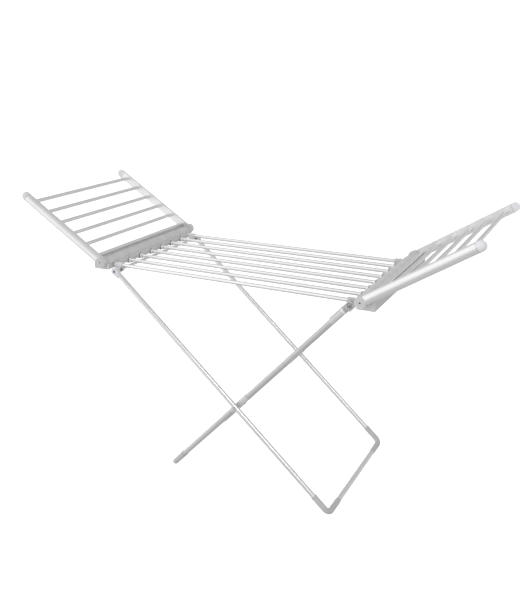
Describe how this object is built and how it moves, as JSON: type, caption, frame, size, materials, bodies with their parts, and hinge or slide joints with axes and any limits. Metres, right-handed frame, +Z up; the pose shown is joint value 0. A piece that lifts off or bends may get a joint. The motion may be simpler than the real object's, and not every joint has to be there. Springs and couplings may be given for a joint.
{
  "type": "clothes drying rack",
  "caption": "Free-standing folding clothes drying rack: level centre section of parallel tubes, a raised rung wing hinged at each end, and crossed folding U-shaped legs.",
  "frame": {"origin": "on the floor, under the middle of the rack", "axes": "+X along the length, from one wing to the other; +Y across, to the back; +Z up"},
  "size_m": [1.5294, 0.54, 0.9355],
  "materials": {
    "thin_tube": "satin",
    "side_rail": "satin",
    "leg_tube": "satin",
    "housing_plastic": "fine moulded grain",
    "fitting_plastic": "fine moulded grain",
    "pale_plastic": "smooth moulded",
    "screw_steel": "zinc plated"
  },
  "bodies": {
    "rack": {"housing_cover_left": "housing_plastic", "housing_cover_right": "housing_plastic", "housing_base_left": "housing_plastic", "housing_base_right": "housing_plastic", "tube_collars": "fitting_plastic", "case_screws": "screw_steel", "hinge_screws": "screw_steel", "centre_tube_1": "thin_tube", "centre_tube_2": "thin_tube", "centre_tube_3": "thin_tube", "centre_tube_4": "thin_tube", "centre_tube_5": "thin_tube", "centre_tube_6": "thin_tube", "centre_tube_7": "thin_tube", "centre_tube_8": "thin_tube", "leg_bracket_left_front": "pale_plastic", "leg_bracket_left_back": "pale_plastic", "leg_clip_right_front": "fitting_plastic", "leg_clip_right_back": "fitting_plastic", "leg_axle": "leg_tube", "leg_pivot_screws": "screw_steel", "clip_screws": "screw_steel"},
    "wing_left": {"wing_left_rail_front": "side_rail", "wing_left_rail_back": "side_rail", "wing_left_knuckles": "fitting_plastic", "wing_left_end_caps": "pale_plastic", "wing_left_rung_1": "thin_tube", "wing_left_rung_2": "thin_tube", "wing_left_rung_3": "thin_tube", "wing_left_rung_4": "thin_tube", "wing_left_rung_5": "thin_tube", "wing_left_rung_6": "thin_tube"},
    "wing_right": {"wing_right_rail_front": "side_rail", "wing_right_rail_back": "side_rail", "wing_right_knuckles": "fitting_plastic", "wing_right_end_caps": "pale_plastic", "wing_right_rung_1": "thin_tube", "wing_right_rung_2": "thin_tube", "wing_right_rung_3": "thin_tube", "wing_right_rung_4": "thin_tube", "wing_right_rung_5": "thin_tube", "wing_right_rung_6": "thin_tube"},
    "leg_frame_a": {"leg_a_tube_front": "leg_tube", "leg_a_tube_back": "leg_tube", "leg_a_foot_bar": "leg_tube", "leg_a_elbow_front": "fitting_plastic", "leg_a_elbow_back": "fitting_plastic", "leg_a_pivot_eye_front": "pale_plastic", "leg_a_pivot_eye_back": "pale_plastic"},
    "leg_frame_b": {"leg_b_tube_front": "leg_tube", "leg_b_tube_back": "leg_tube", "leg_b_foot_bar": "leg_tube", "leg_b_elbow_front": "fitting_plastic", "leg_b_elbow_back": "fitting_plastic", "leg_b_connector_front": "fitting_plastic", "leg_b_connector_back": "fitting_plastic", "crossing_sleeves": "fitting_plastic", "crossing_spacers": "fitting_plastic", "crossing_rivets": "screw_steel", "clip_pins": "screw_steel"}
  },
  "joints": [
    {"name": "wing_left_fold", "type": "hinge", "parent": "rack", "child": "wing_left", "pos_m": [-0.447, 0, 0.7284], "axis": [0, 1, 0], "range_deg": [0, 142.6]},
    {"name": "wing_right_fold", "type": "hinge", "parent": "rack", "child": "wing_right", "pos_m": [0.447, 0, 0.7284], "axis": [0, -1, 0], "range_deg": [0, 142.6]},
    {"name": "leg_a_fold", "type": "hinge", "parent": "rack", "child": "leg_frame_a", "pos_m": [-0.405, 0, 0.6994], "axis": [0, -1, 0], "range_deg": [0, 38]},
    {"name": "leg_b_fold", "type": "hinge", "parent": "leg_frame_a", "child": "leg_frame_b", "pos_m": [0.03467, 0, 0.3038], "axis": [0, 1, 0], "range_deg": [0, 86.8]}
  ],
  "couplings": [
    {"joint": "leg_b_fold", "follows": "leg_a_fold", "ratio": 2.2842}
  ]
}
